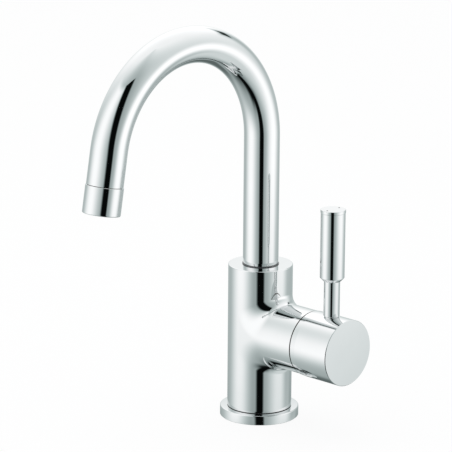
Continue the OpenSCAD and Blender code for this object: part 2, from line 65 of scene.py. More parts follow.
inlet_port_y, inlet_port_z, outlet_port_z = 5.94 * mm, branch_z + 3.7 * mm, branch_z - 5.5 * mm
stud_x, stud_r, stud_top = 9.5 * mm, 3.4 * mm, 21 * mm
# Facets round a turned piece, a cavity, a bore and a narrow channel
turned_sides, cavity_sides, bore_sides, channel_sides = 192, 128, 96, 48
# How far a tool reaches past the face that it opens, and how much of a bevel by the gap is
# painted dark as the gap's shade
overcut, shaded_bevel = 1 * mm, 0.9
# Points nearer than the weld are one, and edges that turn more than this stay sharp
weld, sharp_turn = 1e-7, math.radians(28)
# A face lies on a barrel if it is this near and this square to it
barrel_slack, barrel_square = 0.003 * mm, 0.99
# The part of the noise's range that a finish uses, and the size of a colour's patches
noise_low, noise_high, patch_size = 0.3, 0.7, 11 * mm


def add(tree, kind, links=(), **values):
    """A node with its values set and its sockets fed."""
    node = tree.nodes.new(kind)
    for key, value in values.items():
        if key in node.inputs:
            node.inputs[key].default_value = value
        else:
            setattr(node, key, value)
    for socket, source in links:
        tree.links.new(source, node.inputs[socket])
    return node


def maths(tree, operation, *terms, kind="ShaderNodeMath"):
    """A maths node whose terms are numbers, vectors or other nodes' outputs."""
    node = tree.nodes.new(kind)
    node.operation = operation
    for socket, term in zip(node.inputs, terms):
        if isinstance(term, bpy.types.NodeSocket):
            tree.links.new(term, socket)
        else:
            socket.default_value = term
    return node.outputs["Value" if kind == "ShaderNodeMath" else "Vector"]


def grain(tree, size, low, high, detail=3.0, stretch=(1, 1, 1)):
    """Noise of about that size over the object's own space, spread from low to high."""
    place = add(tree, "ShaderNodeTexCoord").outputs["Object"]
    drawn = maths(tree, "MULTIPLY", place, stretch, kind="ShaderNodeVectorMath")
    noise = add(tree, "ShaderNodeTexNoise", [("Vector", drawn)], Scale=1 / size, Detail=detail)
    spread = add(tree, "ShaderNodeMapRange", [("Value", noise.outputs["Fac"])])
    for key, value in (("From Min", noise_low), ("From Max", noise_high),
                       ("To Min", low), ("To Max", high)):
        spread.inputs[key].default_value = value
    return spread.outputs["Result"]


def finish_of(name, colour, shade, roughness, bump, metallic=0.0):
    """A finish. The colour varies down to its shade, the roughness is (level, spread, grain)
    and the bump (height, grain, stretch)."""
    material = bpy.data.materials.new(name)
    material.use_nodes = True
    tree = material.node_tree
    shader = next(n for n in tree.nodes if n.type == "BSDF_PRINCIPLED")
    shader.inputs["Metallic"].default_value = metallic
    blend = add(tree, "ShaderNodeMix", [("Factor", grain(tree, patch_size, 0.0, 1.0))],
                data_type="RGBA")
    blend.inputs["A"].default_value = (*colour, 1)
    blend.inputs["B"].default_value = (*[c * shade for c in colour], 1)
    tree.links.new(blend.outputs["Result"], shader.inputs["Base Color"])
    level, spread, size = roughness
    tree.links.new(grain(tree, size, level - spread, level + spread), shader.inputs["Roughness"])
    height, size, stretch = bump
    relief = add(tree, "ShaderNodeBump",
                 [("Height", grain(tree, size, 0, 1, detail=2.0, stretch=stretch))],
                 Distance=height)
    relief.inputs["Strength"].default_value = 1.0
    tree.links.new(relief.outputs["Normal"], shader.inputs["Normal"])
    return material


def finished(name, mesh, body, slot, *nodes, barrels=()):
    """Links a piece in place of its CAD nodes. The barrels are true cylinders (point, axis,
    radius) on which a bore has cut the facets, so their normals are set."""
    mesh.shade_smooth()
    mesh.set_sharp_from_angle(angle=sharp_turn)
    if barrels:
        normals = [n.vector.copy() for n in mesh.corner_normals]
        for face in mesh.polygons:
            for point, axis, radius in barrels:
                arms = [mesh.vertices[v].co - point for v in face.vertices]
                arms = [arm - axis * arm.dot(axis) for arm in arms]
                outward = sum(arms, Vector()).normalized()
                on_barrel = all(abs(arm.length - radius) < barrel_slack for arm in arms)
                if on_barrel and abs(face.normal.dot(outward)) > barrel_square:
                    for corner, arm in zip(face.loop_indices, arms):
                        normals[corner] = arm.normalized()
        mesh.normals_split_custom_set(normals)
    piece = bpy.data.objects.new(name, mesh)
    bpy.context.scene.collection.objects.link(piece)
    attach(piece, body)
    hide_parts(*nodes)


def dressed(material, *nodes):
    """Gives CAD nodes their finish."""
    for node in nodes:
        for slot in cad[node].material_slots:
            slot.material = material


def healed(mesh):
    """Merges a closed mesh's doubles and turns its faces outwards."""
    work = bmesh.new()
    work.from_mesh(mesh)
    bmesh.ops.remove_doubles(work, verts=work.verts, dist=weld)
    bmesh.ops.dissolve_degenerate(work, edges=work.edges, dist=weld)
    bmesh.ops.recalc_face_normals(work, faces=work.faces)
    work.to_mesh(mesh)
    work.free()
    return mesh


def closed_mesh(points, faces):
    """A plated piece from its points and faces."""
    mesh = bpy.data.meshes.new("blank")
    mesh.from_pydata(points, [], faces)
    mesh.materials.append(chrome)
    return healed(mesh)


def unplated_and_shaded(mesh, inside):
    """Gives the faces whose centre lies inside the dark raw brass, painted shade on them."""
    shaded_slot = mesh.materials.find(raw_brass_and_shade.name)
    if shaded_slot < 0:
        shaded_slot = len(mesh.materials)
        mesh.materials.append(raw_brass_and_shade)
    for face in mesh.polygons:
        if inside(face.center):
            face.material_index = shaded_slot


def along(point, direction):
    """The place whose local Z runs from the point in that direction."""
    turn = Vector((0, 0, 1)).rotation_difference(Vector(direction)).to_matrix().to_4x4()
    return Matrix.Translation(point) @ turn


def turned(profile, place, sides=turned_sides):
    """A lathe piece: (radius, height) points, revolved about the place's local Z."""
    rings = [[place @ Vector((r * math.cos(math.tau * k / sides),
                              r * math.sin(math.tau * k / sides), h)) for k in range(sides)]
             for r, h in profile]
    m = len(rings)
    faces = [(i * sides + k, i * sides + (k + 1) % sides,
              (i + 1) % m * sides + (k + 1) % sides, (i + 1) % m * sides + k)
             for i in range(m) for k in range(sides) if profile[i][0] or profile[(i + 1) % m][0]]
    return closed_mesh([p for ring in rings for p in ring], faces)


def bore(radius, place, start, end, sides=bore_sides):
    """A round tool about the place's local Z."""
    return turned([(0, start), (radius, start), (radius, end), (0, end)], place, sides)


def worked(mesh, operation, *tools, skin=None):
    """Drills the tools out of the piece, or joins them to it. Cut faces get the tools' skin."""
    piece = bpy.data.objects.new("blank", mesh)
    bpy.context.scene.collection.objects.link(piece)
    for cutter in tools:
        cutter.materials[0] = skin or mesh.materials[0]
        tool = bpy.data.objects.new("cutter", cutter)
        bpy.context.scene.collection.objects.link(tool)
        cut = piece.modifiers.new("cut", "BOOLEAN")
        cut.operation, cut.solver, cut.object = operation, "EXACT", tool
        cut.material_mode = "TRANSFER"
        piece.data = healed(bpy.data.meshes.new_from_object(
            piece.evaluated_get(bpy.context.evaluated_depsgraph_get())))
        piece.modifiers.clear()
        bpy.data.objects.remove(tool)
        bpy.data.meshes.remove(cutter)
    done = piece.data
    bpy.data.objects.remove(piece)
    return done


def rounding(size, steps=6):
    """(inwards, upwards) offsets of a rounded edge, from the wall to the face."""
    turns = [math.pi / 2 * k / steps for k in range(steps + 1)]
    return [(size * (1 - math.cos(a)), size * (math.sin(a) - 1)) for a in turns]


def casting_slice(w, y):
    """Outline of body and branch in one upright slice at y, where the body is 2 w wide. The
    fillets grow towards the front and back, so that the two cylinders melt into each other."""
    f = fillet_r + fillet_spread * (body_r - w)
    bend = [math.pi / 2 * k / fillet_steps for k in range(fillet_steps + 1)]
    fillet = [(w + f - f * math.cos(a), w + f - f * math.sin(a)) for a in bend]
    end_rim = [(0, -branch_bevel), (branch_bevel, 0)]
    top_rim = rounding(rim_r) + [(rim_r + rim_row, 0)]
    beside = w + f + rim_row
    under = [(x, y, branch_z - drop) for x, drop in fillet] + [(beside, y, branch_z - w)]
    over = [(x, y, branch_z + rise) for x, rise in fillet] + [(beside, y, branch_z + w)]
    face = [(branch_end + up, y * (1 - inwards / body_r), w * (1 - inwards / body_r))
            for inwards, up in end_rim]
    crown = [(w * (1 - inwards / body_r), y * (1 - inwards / body_r), body_top + up)
             for inwards, up in top_rim]
    # Heights of the body's wall: below the branch, behind it and above it
    below = [body_foot, branch_z - beside]
    behind = [branch_z - (w + f), branch_z + (w + f)]
    above = [branch_z + beside, body_top - rim_r - rim_row]
    return (under + [(x, v, branch_z - h) for x, v, h in face]
            + [(x, v, branch_z + h) for x, v, h in reversed(face)] + over[::-1]
            + [(w, y, z) for z in above] + crown + [(-x, v, z) for x, v, z in reversed(crown)]
            + [(-w, y, z) for z in reversed(below + behind + above)]
            + [(w, y, z) for z in below])


def casting_form(slices=160):
    """Body and branch from upright slices, set closer towards the front and back."""
    loops = [casting_slice(body_r * math.sin(math.pi * k / slices),
                           -body_r * math.cos(math.pi * k / slices)) for k in range(slices + 1)]
    m = len(loops[0])
    faces = [(k * m + j, k * m + (j + 1) % m, (k + 1) * m + (j + 1) % m, (k + 1) * m + j)
             for k in range(slices) for j in range(m)]
    # Where the first and last slices shrink to lines, a web is left between their two fillets
    n = fillet_steps + 1
    over = next(j for j in range(n, m) if loops[0][j][0] < loops[0][n - 1][0] + rim_row / 2)
    web = [*range(n), *range(over, over + n)]
    faces += [web, [slices * m + j for j in web]]
    return closed_mesh([p for loop in loops for p in loop], faces)


upright = Matrix()
branch = along((0, 0, branch_z), (1, 0, 0))
chrome = finish_of("polished_chrome", colour=(0.8, 0.813, 0.818), shade=0.985, metallic=1.0,
                   roughness=(0.035, 0.015, 4 * mm), bump=(0.0006 * mm, 7 * mm, (1, 1, 1)))
# Far darker than brass: this colour paints the shade of the bores and of the gaps by the hub.
raw_brass_and_shade = finish_of("raw_brass_and_shade", colour=(0.07, 0.055, 0.035), shade=0.8, metallic=1.0,
                      roughness=(0.5, 0.08, 3 * mm), bump=(0.006 * mm, 0.3 * mm, (1, 1, 1)))
casting = worked(casting_form(), "UNION",
                 bore(tail_r, upright, tail_foot, body_foot + overcut, turned_sides))
casting = worked(
    casting, "DIFFERENCE",
    turned([(0, cavity_floor), (cavity_r, cavity_floor), (cavity_r, step_floor),
            (step_r, step_floor), (step_r, mouth_floor), (mouth_r, mouth_floor),
            (mouth_r, branch_end + overcut), (0, branch_end + overcut)], branch, cavity_sides),
    bore(socket_r, upright, socket_z, body_top + overcut),
    bore(lock_r, along((0, 0, lock_z), (0, 1, 0)), lock_inner, body_r + overcut),
    bore(stud_r, along((stud_x, 0, 0), (0, 0, 1)), 0, stud_top),
    *[bore(inlet_r, along((inlet_x, y, 0), (0, 0, 1)), 0, inlet_top) for y in (-inlet_y, inlet_y)],
    *[bore(channel_r, along((inlet_x, y, 0), (0, 0, 1)), inlet_top - overcut, inlet_port_z,
           channel_sides) for y in (-inlet_y, inlet_y)],
    *[bore(port_r, along((0, y, inlet_port_z), (1, 0, 0)), inlet_x, cavity_floor + overcut,
           channel_sides) for y in (-inlet_port_y, inlet_port_y)],
    bore(port_r, along((0, 0, outlet_port_z), (1, 0, 0)), inlet_x, cavity_floor + overcut,
         channel_sides),
    bore(channel_r, along((inlet_x, 0, 0), (0, 0, 1)), outlet_port_z, socket_z + overcut,
         channel_sides),
    skin=raw_brass_and_shade)
# The branch's end face, most of its bevel and the casting's foot take the dark brass as painted
# shade in the gaps.
unplated_and_shaded(casting, lambda centre: centre.x > branch_end - shaded_bevel * branch_bevel
         or centre.z < body_foot + rim_row)
finished("body", casting, "mixer_body", "chrome", "body_casting",
         barrels=[(Vector((0, 0, 0)), Vector((0, 0, 1)), body_r)])


# Base flange, its gasket and its seal
# A ring turned from brass bar and plated, which covers the tap hole. A thin gasket shows as a
# dark line under the body, and a rubber ring seals the flange against the basin.
flange_r, flange_h, flange_bore, flange_edge = 24.5 * mm, 6 * mm, 17.05 * mm, 0.6 * mm
seal_in_r, seal_out_r, seal_depth = 18.7 * mm, 22.8 * mm, 2 * mm
flange_foot_edge, flange_sides = 0.2 * mm, 256

flange = turned(
    [(flange_bore, 0), (seal_in_r, 0), (seal_in_r, seal_depth), (seal_out_r, seal_depth),
     (seal_out_r, 0), (flange_r - flange_foot_edge, 0), (flange_r, flange_foot_edge)]
    + [(flange_r - inwards, flange_h + up) for inwards, up in rounding(flange_edge)]
    + [(flange_bore, flange_h)], upright, flange_sides)
finished("flange", flange, "mixer_body", "chrome", "base_flange")
rubber = finish_of("black_rubber", colour=(0.03, 0.03, 0.032), shade=0.7,
                   roughness=(0.62, 0.12, 1.5 * mm), bump=(0.02 * mm, 0.6 * mm, (1, 1, 1)))
dressed(rubber, "base_seal", "body_gasket")


# Ceramic-disc cartridge
# The plastic housing holds a fixed and a moving alumina disc, both lapped, and the rotor that
# the lever turns. Rubber rings seal its ports in the branch, and a brass nut clamps it.
cream = finish_of("moulded_acetal", colour=(0.82, 0.82, 0.78), shade=0.96,
                  roughness=(0.42, 0.06, 3 * mm), bump=(0.01 * mm, 0.8 * mm, (1, 1, 1)))
blue_grey = finish_of("rotor_plastic", colour=(0.5, 0.55, 0.62), shade=0.94,
                      roughness=(0.38, 0.06, 3 * mm), bump=(0.01 * mm, 0.8 * mm, (1, 1, 1)))
alumina = finish_of("lapped_alumina", colour=(0.93, 0.92, 0.9), shade=0.97,
                    roughness=(0.16, 0.04, 2 * mm), bump=(0.001 * mm, 0.2 * mm, (1, 1, 1)))
brass = finish_of("turned_brass", colour=(0.78, 0.61, 0.33), shade=0.88, metallic=1.0,
                  roughness=(0.28, 0.07, 5 * mm), bump=(0.006 * mm, 0.25 * mm, (0.1, 0.1, 1)))
steel = finish_of("plain_stainless", colour=(0.6, 0.61, 0.62), shade=0.93, metallic=1.0,
                  roughness=(0.3, 0.06, 3 * mm), bump=(0.003 * mm, 0.2 * mm, (1, 1, 1)))
dressed(cream, "cartridge_housing", "cartridge_base", "disc_driver")
dressed(blue_grey, "cartridge_rotor")
dressed(alumina, "fixed_disc", "moving_disc")
dressed(rubber, "port_seals")
dressed(brass, "retaining_nut", "cartridge_stem")
dressed(steel, "pivot_pin")


# Dome cover
# A domed brass cap, plated and screwed into the branch's mouth. The stem comes out through its
# fan-shaped window, and it shows only in the gap when the lever is lifted.
dressed(chrome, "dome_cover")


# Handle hub
# A plated brass cup that closes the branch, raw inside. A bowl lets it tilt round the dome, two
# bosses take the stem's square and the rod, and a land beside the gap tapers a hair. Its raw
# inside and its rim by the gap are painted far darker than brass, as painted shade in the gap.
hub_r, hub_start, hub_end = 20.5 * mm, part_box("handle_hub")[0].x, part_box("handle_hub")[1].x
hub_bevel, hub_rim, hub_sides, lever_x = 0.3 * mm, 0.3 * mm, 256, 59.5 * mm
# The tapered land beside the gap, and the bowl about the cartridge's pivot
land_end, land_taper, land_row, land_rest = hub_start + 4 * mm, 0.2 * mm, 0.1 * mm, 0.03
pivot_x, bowl_r, bowl_steps = 26 * mm, 26.925 * mm, 40
# The hollow with its two bosses, then the sockets in them for stem, rod and grub screw
hub_wall, hollow_lead, stem_boss_r, rod_boss_r = 3.5 * mm, 1 * mm, 8 * mm, 6.9 * mm
stem_hole_r, stem_hole_end, stem_hole_sides = 4.55 * mm, pivot_x + bowl_r + 0.55 * mm, 64
square_half, square_end = 3.2 * mm, lever_x + 4.05 * mm
neck_r, rod_seat, tapped_r, tapped_foot = 4.45 * mm, branch_z + 18.5 * mm, 3 * mm, 64 * mm
grub_r = 2.1 * mm

bowl_turns = [math.acos((hub_start - pivot_x) / bowl_r) * k / bowl_steps
              for k in range(bowl_steps + 1)]
bowl = [(bowl_r * math.sin(turn), pivot_x + bowl_r * math.cos(turn)) for turn in bowl_turns]
hub = turned(
    bowl + [(hub_r - land_taper - hub_rim, hub_start), (hub_r - land_taper, hub_start + hub_rim),
            (hub_r - land_taper * land_rest, land_end - land_row), (hub_r, land_end + land_row),
            (hub_r, land_end + 2 * land_row), (hub_r, hub_end - hub_bevel),
            (hub_r - hub_bevel, hub_end), (0, hub_end)], branch, hub_sides)
lever = Matrix.Translation((lever_x, 0, 0))
hollow = worked(
    bore(hub_r - hub_wall, branch, hub_start + hollow_lead, hub_end - hub_wall), "DIFFERENCE",
    bore(stem_boss_r, branch, pivot_x, hub_end),
    bore(rod_boss_r, lever, branch_z - hub_r, branch_z + hub_r))
hub = worked(hub, "DIFFERENCE", hollow,
             bore(stem_hole_r, branch, pivot_x, stem_hole_end, stem_hole_sides),
             bore(square_half * math.sqrt(2), branch @ Matrix.Rotation(math.pi / 4, 4, "Z"),
                  pivot_x, square_end, 4),
             bore(neck_r, lever, rod_seat, branch_z + hub_r + overcut),
             bore(tapped_r, lever, tapped_foot, rod_seat + overcut, channel_sides),
             bore(grub_r, lever, branch_z - hub_r - overcut, branch_z, channel_sides),
             skin=raw_brass_and_shade)
# The hub's rim by the gap and its bowl take the dark brass as painted shade in the gap.
unplated_and_shaded(hub, lambda centre: centre.x < hub_start + shaded_bevel * hub_rim
         or (centre - Vector((pivot_x, 0, branch_z))).length < bowl_r + rim_row)
finished("hub", hub, "lever", "chrome", "handle_hub",
         barrels=[(Vector((0, 0, branch_z)), Vector((1, 0, 0)), hub_r)])
dressed(steel, "hub_grub_screw")


# Lever rod
# A turned and plated bar screwed into the top of the hub, with a small bevel at its foot.
# Its upper end carries the grip on a thinner spigot.
clear = 0.05 * mm
rod_r, rod_foot, rod_bevel, rod_edge = 4.9 * mm, branch_z + hub_r + clear, 0.5 * mm, 0.08 * mm
grip_foot, grip_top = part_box("lever_grip")[0].z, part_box("lever_grip")[1].z
thread_r, thread_foot = 2.95 * mm, 64.5 * mm
shoulder, spigot_r, spigot_top = grip_foot + 3 * mm, 3.5 * mm, 135 * mm

rod = turned(
    [(0, thread_foot), (thread_r, thread_foot), (thread_r, rod_seat), (rod_r - rod_bevel, rod_seat),
     (rod_r - rod_bevel, rod_foot), (rod_r - rod_edge, rod_foot + rod_bevel - rod_edge),
     (rod_r, rod_foot + rod_bevel + rim_row), (rod_r, rod_foot + rod_bevel + 2 * rim_row),
     (rod_r, shoulder), (spigot_r, shoulder), (spigot_r, spigot_top), (0, spigot_top)], lever)
finished("rod", rod, "lever", "chrome", "lever_rod")


# Lever grip and its cap
# The grip is a turned brass sleeve with a cone at its foot. A cap closes its top, screwed in by
# two small holes for a pin spanner and a hair wider than the sleeve.
grip_r, cap_r, cap_top = 7.5 * mm, 7.7 * mm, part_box("grip_cap")[1].z
cone, cone_in, cone_edge, cone_row = 2.2 * mm, 0.1 * mm, 0.12 * mm, 0.2 * mm
seam_edge, cap_edge, shank_r, shank_depth = 0.12 * mm, 0.3 * mm, 5 * mm, 3.5 * mm
shank_bore_depth, pin_hole_r, pin_hole_y, pin_hole_depth, pin_hole_sides = (
    4 * mm, 0.6 * mm, 5.3 * mm, 1 * mm, 32)

grip = turned(
    [(rod_r + clear, grip_foot), (grip_r - cone, grip_foot),
     (grip_r - cone_in, grip_foot + cone - cone_edge), (grip_r, grip_foot + cone + cone_edge),
     (grip_r, grip_foot + cone + cone_row), (grip_r, grip_top - seam_edge - rim_row),
     (grip_r, grip_top - seam_edge), (grip_r - seam_edge, grip_top), (shank_r + clear, grip_top),
     (shank_r + clear, grip_top - shank_bore_depth),
     (spigot_r + clear, grip_top - shank_bore_depth), (spigot_r + clear, shoulder),
     (rod_r + clear, shoulder)], lever)
finished("grip", grip, "lever", "chrome", "lever_grip")
cap = turned(
    [(0, grip_top - shank_depth), (shank_r, grip_top - shank_depth), (shank_r, grip_top),
     (cap_r - seam_edge, grip_top), (cap_r, grip_top + seam_edge),
     (cap_r, grip_top + seam_edge + rim_row), (cap_r, cap_top - cap_edge - rim_row)]
    + [(cap_r - inwards, cap_top + up) for inwards, up in rounding(cap_edge)]
    + [(cap_r - cap_edge - rim_row, cap_top), (0, cap_top)], lever)
cap = worked(cap, "DIFFERENCE",
             *[bore(pin_hole_r, Matrix.Translation((lever_x, y, 0)), cap_top - pin_hole_depth,
                    cap_top + overcut, pin_hole_sides) for y in (-pin_hole_y, pin_hole_y)])
finished("cap", cap, "lever", "chrome", "grip_cap")


# Spout seat
# The spout's brass spigot turns in the body on two rubber rings and a dark slip ring. A grub
# screw at the back runs in its groove and stops the swing.
acetal = finish_of("dark_acetal", colour=(0.06, 0.06, 0.065), shade=0.8,
                   roughness=(0.15, 0.04, 2 * mm), bump=(0.004 * mm, 0.5 * mm, (1, 1, 1)))
dressed(acetal, "spout_slip_ring")
dressed(steel, "spout_lock_screw")
dressed(brass, "spout_spigot")
dressed(rubber, "spigot_o_rings")


# Spout tube
# Brass tube, bent on a mandrel into a swan neck and polished before plating. A band at its
# foot tapers in, and spigot and outlet nipple are brazed into its ends.
tube_r, tube_wall, tube_foot, tube_row = 11 * mm, 1.2 * mm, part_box("spout_tube")[0].z, 0.6 * mm
foot_band, foot_taper, tube_sides = 1.8 * mm, 0.3 * mm, 96
bend_z, bend_r, bend_sweep, drop = 178.8 * mm, 65 * mm, math.radians(170), 20 * mm
riser = bend_z - tube_foot
tube_length = riser + bend_r * bend_sweep + drop


def outlet_at(distance):
    """The point that far below the end of the bend, along the flow."""
    reach = bend_r * (1 - math.cos(bend_sweep)) + distance * math.sin(bend_sweep)
    height = bend_z + bend_r * math.sin(bend_sweep) + distance * math.cos(bend_sweep)
    return Vector((0, -reach, height))


def grown(name, sizes, build):
    """A mesh from a tree of geometry nodes with named inputs, set before it is evaluated."""
    tree = bpy.data.node_groups.new(name, "GeometryNodeTree")
    tree.interface.new_socket("Geometry", in_out="OUTPUT", socket_type="NodeSocketGeometry")
    for key, value in sizes.items():
        kind = {int: "Int", float: "Float", bpy.types.Material: "Material"}[type(value)]
        tree.interface.new_socket(key, in_out="INPUT", socket_type="NodeSocket" + kind)
    size = add(tree, "NodeGroupInput").outputs
    real = add(tree, "GeometryNodeRealizeInstances", [("Geometry", build(tree, size))])
    shown = add(tree, "GeometryNodeSetMaterial", [("Geometry", real.outputs["Geometry"]),
                                                  ("Material", size["Finish"])])
    add(tree, "NodeGroupOutput", [("Geometry", shown.outputs["Geometry"])])
    holder = bpy.data.objects.new(name, bpy.data.meshes.new(name))
    bpy.context.scene.collection.objects.link(holder)
    modifier = holder.modifiers.new(name, "NODES")
    modifier.node_group = tree
    for item in tree.interface.items_tree:
        if item.in_out == "INPUT":
            modifier[item.identifier] = sizes[item.name]
    mesh = bpy.data.meshes.new_from_object(
        holder.evaluated_get(bpy.context.evaluated_depsgraph_get()))
    holder.modifiers.remove(modifier)
    bpy.data.objects.remove(holder)
    return mesh


def swan_neck(tree, size):
    """Bends a straight line of the tube's length into riser, bend and drop, and sweeps it."""
    def calc(operation, *terms):
        return maths(tree, operation, *terms)

    end = add(tree, "ShaderNodeCombineXYZ", [("Z", size["Length"])])
    line = add(tree, "GeometryNodeCurvePrimitiveLine", [("End", end.outputs[0])])
    fine = add(tree, "GeometryNodeResampleCurve", [("Curve", line.outputs["Curve"]),
                                                   ("Count", size["Rows"])])
    way = add(tree, "GeometryNodeSplineParameter").outputs["Length"]
    before = calc("MINIMUM", way, size["Riser"])
    past = calc("MAXIMUM", calc("SUBTRACT", way, size["Riser"]), 0.0)
    angle = calc("MINIMUM", calc("DIVIDE", past, size["Bend radius"]), size["Sweep"])
    after = calc("MAXIMUM", calc("SUBTRACT", past,
                                 calc("MULTIPLY", size["Bend radius"], size["Sweep"])), 0.0)
    sine, cosine = calc("SINE", angle), calc("COSINE", angle)
    reach = calc("ADD", calc("MULTIPLY", size["Bend radius"], calc("SUBTRACT", 1.0, cosine)),
                 calc("MULTIPLY", after, sine))
    rise = calc("ADD", calc("MULTIPLY", size["Bend radius"], sine),
                calc("MULTIPLY", after, cosine))
    place = add(tree, "ShaderNodeCombineXYZ", [
        ("Y", calc("MULTIPLY", reach, -1.0)),
        ("Z", calc("ADD", calc("ADD", size["Foot height"], before), rise))])
    inset = calc("MAXIMUM", calc("SUBTRACT", 1.0, calc("DIVIDE", way, size["Foot band"])), 0.0)
    radius = calc("SUBTRACT", size["Radius"], calc("MULTIPLY", inset, size["Foot taper"]))
    bent = add(tree, "GeometryNodeSetPosition", [("Geometry", fine.outputs["Curve"]),
                                                 ("Position", place.outputs[0])])
    bore_radius = calc("SUBTRACT", size["Radius"], size["Wall"])
    skins = []
    for wide in (radius, bore_radius):
        ring = add(tree, "GeometryNodeCurvePrimitiveCircle", [("Resolution", size["Sides"])],
                   Radius=1.0)
        skins.append(add(tree, "GeometryNodeCurveToMesh",
                         [("Curve", bent.outputs["Geometry"]), ("Scale", wide),
                          ("Profile Curve", ring.outputs["Curve"])]).outputs["Mesh"])
    turned_in = add(tree, "GeometryNodeFlipFaces", [("Mesh", skins.pop())])
    joined = add(tree, "GeometryNodeJoinGeometry")
    for skin in (*skins, turned_in.outputs["Mesh"]):
        tree.links.new(skin, joined.inputs[0])
    return joined.outputs[0]


tube = grown("tube", {
    "Length": tube_length, "Rows": round(tube_length / tube_row) + 1, "Riser": riser,
    "Bend radius": bend_r, "Sweep": bend_sweep, "Foot height": tube_foot,
    "Foot band": foot_band, "Foot taper": foot_taper, "Radius": tube_r, "Wall": tube_wall,
    "Sides": tube_sides, "Finish": chrome}, swan_neck)
work = bmesh.new()
work.from_mesh(tube)
open_edges = [e for e in work.edges if e.is_boundary]
bmesh.ops.bridge_loops(work, edges=[e for e in open_edges if e.verts[0].co.y > -bend_r])
bmesh.ops.bridge_loops(work, edges=[e for e in open_edges if e.verts[0].co.y <= -bend_r])
work.to_mesh(tube)
work.free()
finished("tube", healed(tube), "spout", "chrome", "spout_tube")


# Aerator
# A plated housing screwed on the brazed brass nipple, with an inward lip. Behind it lie a rubber
# washer, a perforated steel screen and the plastic honeycomb that straightens the jet.
outlet_r, outlet_start, outlet_length, outlet_edge = 11.35 * mm, 20.3 * mm, 16.7 * mm, 0.6 * mm
nipple_bore_r, nipple_depth, chamber_r, lip, lip_r, lip_edge = (
    10.2 * mm, 6 * mm, 9.6 * mm, 1.2 * mm, 8.5 * mm, 0.2 * mm)

flow = along(outlet_at(0), outlet_at(1) - outlet_at(0))
outlet_end = outlet_start + outlet_length
housing = turned(
    [(nipple_bore_r, outlet_start), (outlet_r - seam_edge, outlet_start),
     (outlet_r, outlet_start + seam_edge), (outlet_r, outlet_start + seam_edge + rim_row),
     (outlet_r, outlet_end - outlet_edge - rim_row)]
    + [(outlet_r - inwards, outlet_end + up) for inwards, up in rounding(outlet_edge)]
    + [(lip_r + lip_edge, outlet_end), (lip_r, outlet_end - lip_edge),
       (lip_r, outlet_end - lip), (chamber_r, outlet_end - lip),
       (chamber_r, outlet_start + nipple_depth), (nipple_bore_r, outlet_start + nipple_depth)],
    flow)
finished("aerator", housing, "spout", "chrome", "aerator_housing")
white_plastic = finish_of("white_plastic", colour=(0.75, 0.76, 0.76), shade=0.95,
                          roughness=(0.4, 0.06, 2 * mm), bump=(0.006 * mm, 0.5 * mm, (1, 1, 1)))
# The nipple is raw brass, painted dark as shade inside the outlet.
dressed(raw_brass_and_shade, "outlet_nipple")
dressed(rubber, "aerator_washer")
dressed(steel, "aerator_screen")
dressed(white_plastic, "flow_straightener")


# Studio tent
# The mixer stands in a tent of white cloth whose front wall is flat. The cloth is lit through
# soft panels, and a dark slot in the front wall shows as a black line. Only mirror rays meet it.
view_turn, view_tilt, view_roll = math.radians(44.03), math.radians(14.97), math.radians(0.40)
to_camera = Vector((math.sin(view_turn), -math.cos(view_turn), 0))
to_right = Vector((math.cos(view_turn), math.sin(view_turn), 0))
tent_r, tent_z, tent_front, tent_rows, tent_columns = 0.8, 100 * mm, 0.42, 48, 96
# Brightness of the whole cloth and of its panels, and how its greys lean to a cool green
tent_light, cool_lean = 1.125, (-0.17, 0.04, 0.02)
wall, front_grey, right_grey, left_white, right_white, low_white, roof_white, roof_grey = (
    0.47, 0.38, 0.8, 1.07, 1.26, 0.7, 1.3, 0.97)
base_grey, base_dark, pocket_grey, stand_dark, edge_dark, slot_dark = (
    0.05, 0.007, 0.5, 0.03, 0.13, 0.0025)
# Where each panel's edges start and are full, in degrees. A turn runs from the camera's side to
# the right, a rise upwards, and the white panels lean: their turn shifts with the rise.
lean, lean_start = -0.3, 4.5
front_left, front_right = (-120, -8), (67, 8)
side_near, side_far, side_foot = (7, 101), (139, 102), (-20, -7)
left_far, left_near, left_foot, left_head = (-134, -77), (-17, -71), (-54, -9), (57, 50)
right_near, right_far, right_foot, right_head = (15, 71), (114, 80), (-67, 25), (24, -3)
low_near, low_far, low_foot, low_head = (50, 90), (150, 106), (-76, -50), (-22, -33)
base_head, dark_left, dark_right, dark_head = (-46, -94), (-44, -12), (36, 7), (-23, -53)
roof_foot, roof_sink = (42, 111), 32.0
pocket_near, pocket_far, pocket_foot, pocket_head = (119, 143), (175, 149), (-16, 11), (42, 37)
stand_near, stand_far, stand_foot, stand_head = (134, 139), (158, 154), (29, 32), (39, 36)
back_right, back_left, back_foot, back_head = (57, 39), (-55, -10), (-63, -53), (-15, -38)
# The slot's edges in metres, and how far each leans, in metres per metre
slot_left, slot_right, slot_end = (-0.151, -0.079), (0.117, 0.06), (0.623, 0.606)
slot_left_lean, slot_right_lean, slot_end_lean = 0.118, 0.048, 0.22
# Shares of the way to the camera, over which the roof dims and the slot begins
roof_back, slot_ahead = (-1.14, 0.01), (0, 0.1)


def panel(tree, level, tone, *edges):
    """Lays a tone over the level. Each edge is an angle or a length, with where it starts and
    where it is full."""
    share = 1.0
    for value, (start, full) in edges:
        edge = add(tree, "ShaderNodeMapRange", [("Value", value)], interpolation_type="SMOOTHSTEP")
        edge.inputs["From Min"].default_value = start
        edge.inputs["From Max"].default_value = full
        share = maths(tree, "MULTIPLY", edge.outputs["Result"], share)
    reach = maths(tree, "SUBTRACT", tone, level)
    return maths(tree, "MULTIPLY_ADD", reach, share, level)


